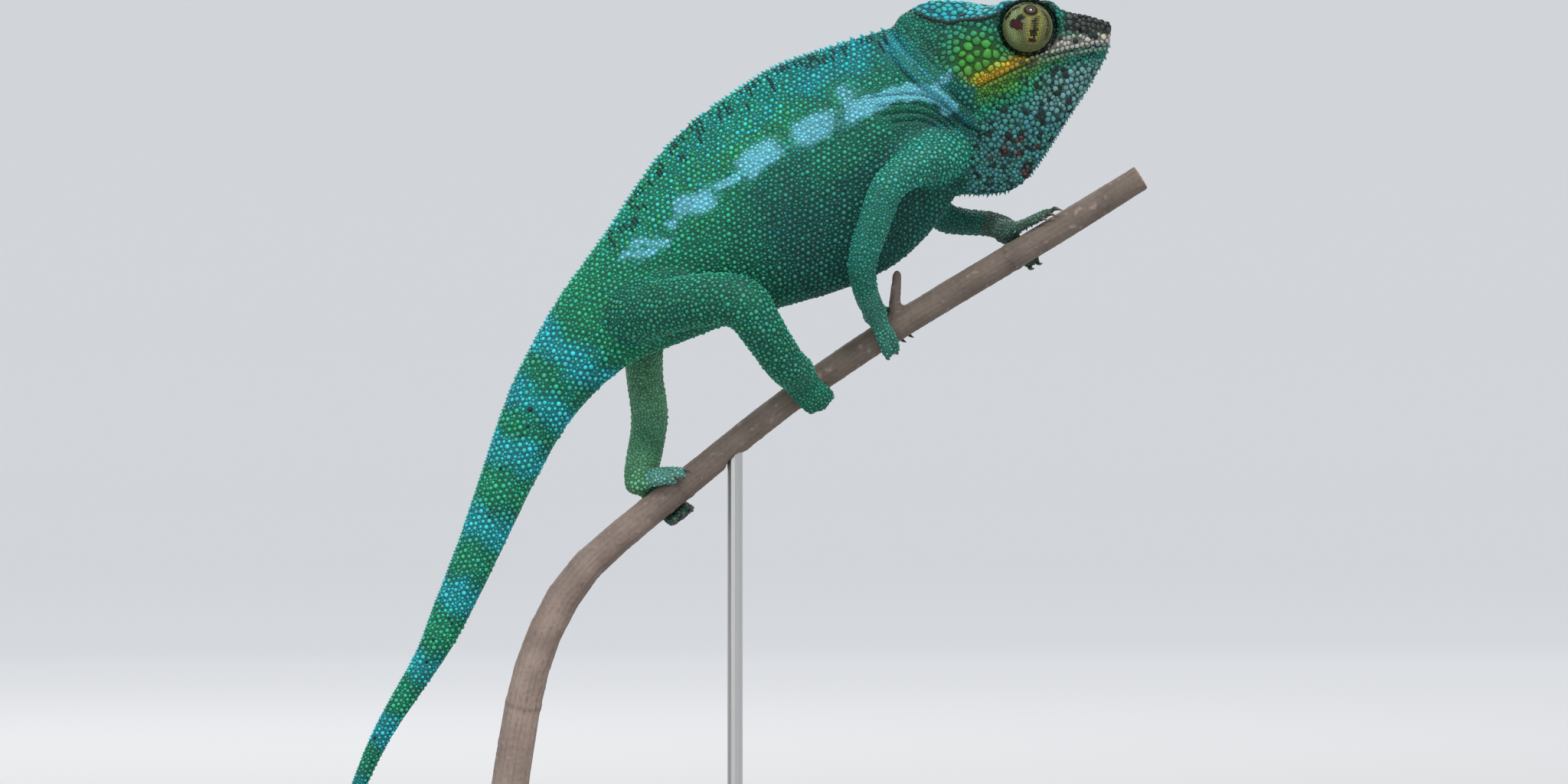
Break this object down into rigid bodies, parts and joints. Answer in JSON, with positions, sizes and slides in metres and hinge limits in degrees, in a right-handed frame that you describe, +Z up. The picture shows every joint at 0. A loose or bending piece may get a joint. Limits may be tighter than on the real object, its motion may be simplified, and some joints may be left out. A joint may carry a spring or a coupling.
{
  "type": "chameleon",
  "caption": "Life-size male panther chameleon gripping a cut length of branch, on a plain base with two short rods.",
  "frame": {"origin": "centre of the stand base's flat underside", "axes": "+Z up; +X the way the animal faces, along the base's length; +Y towards its left side; the body's middle plane is y = 0"},
  "size_m": [0.2645, 0.112, 0.3315],
  "materials": {
    "skin": "scaly skin, satin, green and turquoise",
    "turret": "fine-scaled lid skin, satin, yellow-green",
    "eye": "wet gloss, near black",
    "claw": "horn, dark, satin gloss",
    "bark": "thin grey-brown bark, matt",
    "rod": "satin",
    "base": "dark walnut, oiled satin"
  },
  "bodies": {
    "root": {"head": "skin", "lower_jaw": "skin", "neck": "skin", "trunk": "skin", "tail_1": "skin", "tail_2": "skin", "tail_3": "skin", "tail_4": "skin", "tail_5": "skin", "tail_6": "skin", "tail_7": "skin", "tail_8": "skin", "upper_arm_left": "skin", "forearm_left": "skin", "hand_left": "skin", "thigh_left": "skin", "shank_left": "skin", "foot_left": "skin", "toes_inner_hand_left": "skin", "toes_outer_hand_left": "skin", "toes_inner_foot_left": "skin", "toes_outer_foot_left": "skin", "eye_turret_left": "turret", "eyeball_left": "eye", "upper_arm_right": "skin", "forearm_right": "skin", "hand_right": "skin", "thigh_right": "skin", "shank_right": "skin", "foot_right": "skin", "toes_inner_hand_right": "skin", "toes_outer_hand_right": "skin", "toes_inner_foot_right": "skin", "toes_outer_foot_right": "skin", "eye_turret_right": "turret", "eyeball_right": "eye", "perch": "bark", "stand_rod_rear": "rod", "stand_rod_mid": "rod", "stand_base": "base"}
  },
  "joints": []
}
